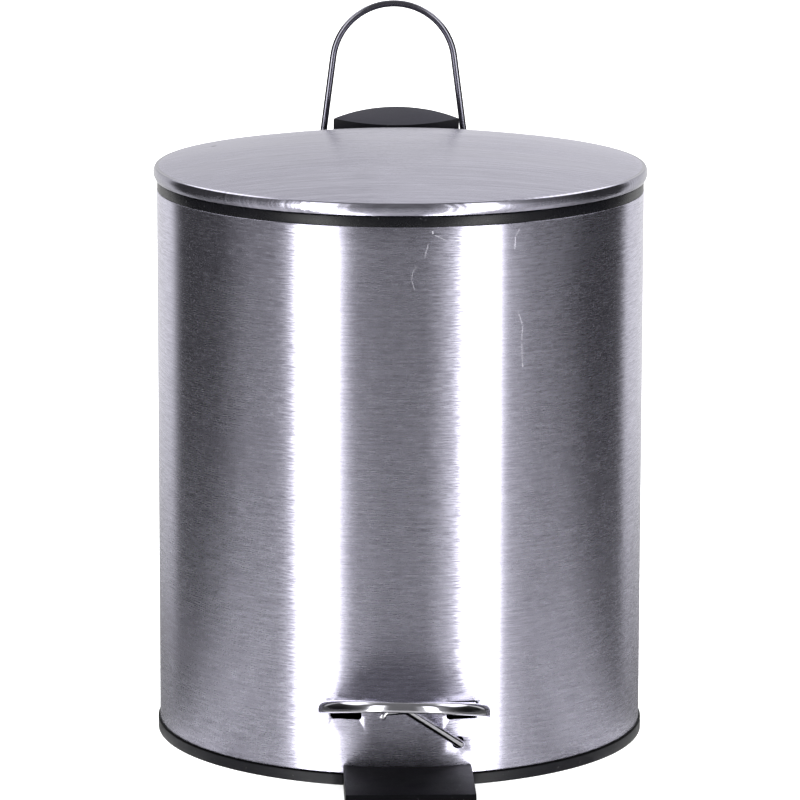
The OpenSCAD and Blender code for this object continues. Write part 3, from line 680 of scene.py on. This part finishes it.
def pedal_mesh():
    """Half-disc plate with a turned-down rim, and two tongues that curl round the pin."""
    round_r = 2.8
    # The rim's path round the left side, the front arc and the right side, with its inward normals
    path = [(Vector((-HALF, BACK + (MIDDLE - BACK) * k / 4)), Vector((1, 0))) for k in range(4)]
    for k in range(97):
        a = pi + pi * k / 96
        path.append((Vector((HALF * cos(a), MIDDLE + HALF * sin(a))), Vector((-cos(a), -sin(a)))))
    path += [(Vector((HALF, BACK + (MIDDLE - BACK) * k / 4)), Vector((-1, 0))) for k in range(3, -1, -1)]
    rim_in = [tuple(p + n * round_r) for p, n in path]
    # The back edge with the tongues, in the unrolled sheet: above 0 a tongue wraps round the pin
    end = CURL * radians(295)
    root = 2.0
    tongue = [(TONGUE_OUT + root, BACK, 0), (TONGUE_OUT, BACK, root), (TONGUE_OUT, end, 1.0),
              (TONGUE_IN, end, 1.0), (TONGUE_IN, BACK, root), (TONGUE_IN - root, BACK, 0)]
    back_edge = fillet(tongue, step=25)
    back_edge += fillet([(-x, y, r) for x, y, r in reversed(tongue)], step=25)
    ring = list(rim_in)
    tail = back_edge + [rim_in[0]]
    for p, q in zip([rim_in[-1]] + tail[:-1], tail):
        p, q = Vector(p), Vector(q)
        m = max(1, int((q - p).length / 0.7))
        ring += [tuple(p.lerp(q, j / m)) for j in range(1, m + 1)]
    ring.pop()
    grid = [(x * 1.1 + 0.0003 * (y % 2), y * 1.1) for x in range(-34, 35) for y in range(-52, 18)]
    clear = [g for g in grid if min(abs(g[0] - l[0]) + abs(g[1] - l[1]) for l in ring) > 0.5]
    pts, tris = panel(ring, [], clear)
    lay_plate = Matrix.Rotation(-SLOPE, 4, 'X') @ Matrix.Rotation(LEAN, 4, 'Y')
    lay_tongue = Matrix.Rotation(-TONGUE, 4, 'X')

    def lay(x, s):
        flat = lay_plate @ Vector((x, s, PLATE_TOP))
        if s > 0:
            a = pi / 2 - s / CURL
            return tuple(lay_tongue @ Vector((x, CURL * cos(a), CURL * sin(a))))
        level = lay_tongue @ Vector((x, s * 0.98 if s > BACK else s + 0.33, CURL))
        t = min(1.0, max(0.0, (s + 21.0) / 7.0))
        return tuple(flat.lerp(level, t * t * (3 - 2 * t)))
    verts = [lay(*p) for p in pts]
    faces = list(tris)
    section = [(round_r * (1 - sin(a)), -round_r * (1 - cos(a))) for a in (pi / 2 * k / 8 for k in range(9))]
    section += [(0, -3.3), (0, -3.7), (0, -RIM)]
    m = len(section)
    base = len(verts)
    for p, n in path:
        for inset, drop in section:
            q = p + n * inset
            top = Vector(lay(q.x, q.y))
            verts.append(tuple(top + lay_plate.to_3x3() @ Vector((0, 0, drop))))
    for i in range(len(path) - 1):
        for k in range(m - 1):
            q = base + i * m + k
            faces.append((q, q + 1, q + m + 1, q + m))
    me = mesh_of("pedal_look", verts, faces)
    bm = bmesh.new()
    bm.from_mesh(me)
    if sum(f.normal.z for f in bm.faces if f.calc_center_median().y < -0.03) < 0:
        bmesh.ops.reverse_faces(bm, faces=bm.faces)
    bm.to_mesh(me)
    bm.free()
    me = with_modifiers(me, ("SOLIDIFY", dict(thickness=THICK * MM, offset=-1.0, use_even_offset=True)))
    # Soften the rim's outer lower edge
    unlay = lay_plate.inverted()
    bm = bmesh.new()
    bm.from_mesh(me)
    low = set()
    for v in bm.verts:
        q = unlay @ v.co
        out = hypot(q.x, min(0.0, q.y - MIDDLE * MM))
        if q.z < (PLATE_TOP - RIM + 0.08) * MM and out > (HALF - 0.2) * MM:
            low.add(v)
    edges = [e for e in bm.edges if e.verts[0] in low and e.verts[1] in low]
    bmesh.ops.bevel(bm, geom=edges, offset=1.2 * MM, offset_type='OFFSET', segments=4, profile=0.5,
                    affect='EDGES', clamp_overlap=False)
    bm.to_mesh(me)
    bm.free()
    me = with_modifiers(me, bevel(0.2, 2, 50))
    me.transform(Matrix.Translation(PIN * MM))
    return me


place("pedal_look", pedal_mesh(), M_CHROME, "pedal", ["pedal_plate"], 50)

# ---------------------------------------------------------------- hidden CAD nodes keep their shape
ZINC_NODES = ("pedal_bracket", "bracket_screws", "foot_screws", "pedal_pin", "pedal_pin_clips", "rod_guides",
              "housing_screws", "hinge_pin", "lid_screws", "lift_rod")
INNER_NODES = ("crank_saddle_front", "crank_saddle_rear", "lid_bracket")
for names, mat in ((ZINC_NODES, M_ZINC), (INNER_NODES, M_INNER)):
    for node in names:
        for s in nodes_cad[node].material_slots:
            s.material = mat

# ---------------------------------------------------------------- floor, light and camera
def flat_piece(name, size):
    """A square stage sheet on the floor and its look, size millimetres to each side."""
    me = bpy.data.meshes.new(name)
    s = size * MM
    me.from_pydata([(-s, -s, 0), (s, -s, 0), (s, s, 0), (-s, s, 0)], [], [(0, 1, 2, 3)])
    o = bpy.data.objects.new(name, me)
    scene.collection.objects.link(o)
    return o, Look(name + "_look")


def stage_floor():
    """A white floor, and near the bin a disc of floor that only the steel's reflections see, its light and
    shade painted on.
    """
    o, t = flat_piece("floor", 7000)
    f = t.noise(t.pos, scale=3.0, detail=2.0)
    t.set(base=t.mix(f, (0.90, 0.90, 0.90, 1), (0.92, 0.92, 0.92, 1)), rough=0.9, spec=0.0)
    t.bsdf.inputs["Emission Color"].default_value = (1, 1, 1, 1)
    t.bsdf.inputs["Emission Strength"].default_value = 0.5
    o.data.materials.append(t.mat)
    o.visible_glossy = False
    o, t = flat_piece("floor_near", 900)
    x, y, _ = t.split(t.pos)
    r = t.math('SQRT', t.math('ADD', t.math('MULTIPLY', x, x), t.math('MULTIPLY', y, y)))
    ahead = t.math('DIVIDE', t.math('MULTIPLY', y, -1.0), r)
    lamp = t.math('MULTIPLY', t.remap(ahead, 0.50, 0.62, 0.0, 1.0), t.remap(ahead, 0.955, 0.985, 1.0, 0.0))
    # Painted light: paler ahead of the bin, a painted pool of light under each of the two softboxes, and
    # painted shade straight ahead
    b = t.math('ADD', t.remap(ahead, -0.1, 0.3, 0.18, 0.46), t.remap(ahead, 0.955, 0.99, 0.0, -0.10))
    b = t.math('ADD', b, t.math('MULTIPLY', lamp, 0.45))
    fade = t.math('SUBTRACT', 1.0, t.math('MULTIPLY', lamp, 0.7))
    fade = t.math('MULTIPLY', t.remap(r, 0.20, 0.83, 1.0, 0.0), fade)
    t.set(base=t.join(b, b, b), rough=0.9, spec=0.0, alpha=fade)
    o.data.materials.append(t.mat)
    for kind in ("camera", "diffuse", "transmission", "volume_scatter", "shadow"):
        setattr(o, "visible_" + kind, False)


stage_floor()


# Level of the studio's walls round the bin: degrees from the front, positive to the right, and the level
PEAK = 5.4
WALLS = [(-180, .80), (-141, .90), (-135.5, .80), (-131.5, .25), (-127, .05), (-92, .06), (-80, .19),
         (-62, .30), (-56, .50), (-53, 1.0), (-51, 1.6), (-48, PEAK), (-31, PEAK), (-29, 1.2), (-26, .75),
         (-22, .30), (-12, .25), (12, .25), (17, .34), (20, .60), (28, .85), (31, PEAK), (47, PEAK),
         (49, .72), (57, .53), (66, .26), (80, .14), (96, .04), (127, .05), (131, .35), (134.5, .86),
         (180, .90)]
# Level of the rear wall, from straight down (0) to straight up (1)
REAR_WALL = [(0.0, 0.85), (0.40, 0.85), (0.46, 0.98), (0.52, 0.90), (0.60, 0.78), (0.78, 0.72)]
VIEW_TURN = 1.1                       # degrees that the camera stands left of straight ahead


def studio():
    """Soft studio light: two tall softboxes in front, a pale backdrop behind, a bright ceiling."""
    world = bpy.data.worlds.new("studio")
    world.use_nodes = True
    scene.world = world
    t = Tree(world.node_tree)

    def times(u, v):
        return t.math('MULTIPLY', u, v)

    def rise(value, a, b, c, d):
        return t.remap(value, a, b, c, d, 'SMOOTHSTEP')

    def blend(fac, u, v):
        return t.math('ADD', times(u, t.math('SUBTRACT', 1.0, fac)), times(v, fac))

    def around(degrees):
        return (degrees - (VIEW_TURN if abs(degrees) < 180 else 0) + 180) / 360

    x, y, z = t.split(t.node("ShaderNodeTexCoord").outputs["Generated"])
    turn = t.math('ARCTAN2', x, times(y, -1.0))
    turn = t.math('ADD', t.math('DIVIDE', turn, 2 * pi), 0.5)
    band = times(t.ramp(turn, [(around(a), v / PEAK) for a, v in WALLS]), PEAK)
    front = blend(rise(z, 0.40, 0.75, 0.0, 1.0), times(band, rise(z, -0.40, 0.25, 1.35, 0.75)), 0.20)
    wall = t.ramp(t.math('ADD', times(z, 0.5), 0.5), REAR_WALL)
    rear = blend(rise(z, 0.55, 0.90, 0.0, 1.0), times(times(band, wall), 1.4), 0.85)
    level = blend(rise(y, -0.15, 0.40, 0.0, 1.0), front, rear)
    # Two high panels, one on each side towards the back
    panels = times(rise(z, 0.46, 0.56, 0.0, 1.0), rise(z, 0.78, 0.88, 1.0, 0.0))
    sides = times(rise(t.math('ABSOLUTE', x), 0.25, 0.45, 0.0, 1.0), rise(y, -0.25, -0.05, 0.0, 1.0))
    level = t.math('ADD', level, times(times(panels, sides), 1.8))
    glow = t.node("ShaderNodeBackground")
    t.link(level, glow.inputs["Strength"])
    plain = t.node("ShaderNodeBackground")
    plain.inputs["Color"].default_value = (1, 1, 1, 1)
    plain.inputs["Strength"].default_value = 1.0
    mix = t.node("ShaderNodeMixShader")
    t.link(t.node("ShaderNodeLightPath").outputs["Is Camera Ray"], mix.inputs[0])
    t.link(glow.outputs[0], mix.inputs[1])
    t.link(plain.outputs[0], mix.inputs[2])
    t.link(mix.outputs[0], t.node("ShaderNodeOutputWorld").inputs["Surface"])
    lamp = bpy.data.lights.new("overhead", 'SUN')
    lamp.energy = 4.2
    lamp.angle = radians(55)
    o = bpy.data.objects.new("overhead", lamp)
    o.visible_glossy = False
    scene.collection.objects.link(o)


studio()

CAMERA_AWAY, CAMERA_HEIGHT = 2.1822, 0.5781   # metres from the bin's axis, and above the floor
CAMERA_PITCH, CAMERA_ROLL = 11.32, 0.12       # degrees

cam = bpy.data.cameras.new("camera")
cam.lens = 236.0
cam.sensor_width = 36.0
cam.clip_start = 0.1
cam.clip_end = 50
camera = bpy.data.objects.new("camera", cam)
scene.collection.objects.link(camera)
turn = radians(VIEW_TURN)
stand = Vector((-CAMERA_AWAY * sin(turn), -CAMERA_AWAY * cos(turn), CAMERA_HEIGHT))
camera.matrix_world = (Matrix.Translation(stand) @
                       Matrix.Rotation(-turn, 4, 'Z') @
                       Matrix.Rotation(radians(90 - CAMERA_PITCH), 4, 'X') @
                       Matrix.Rotation(radians(CAMERA_ROLL), 4, 'Z'))
scene.camera = camera
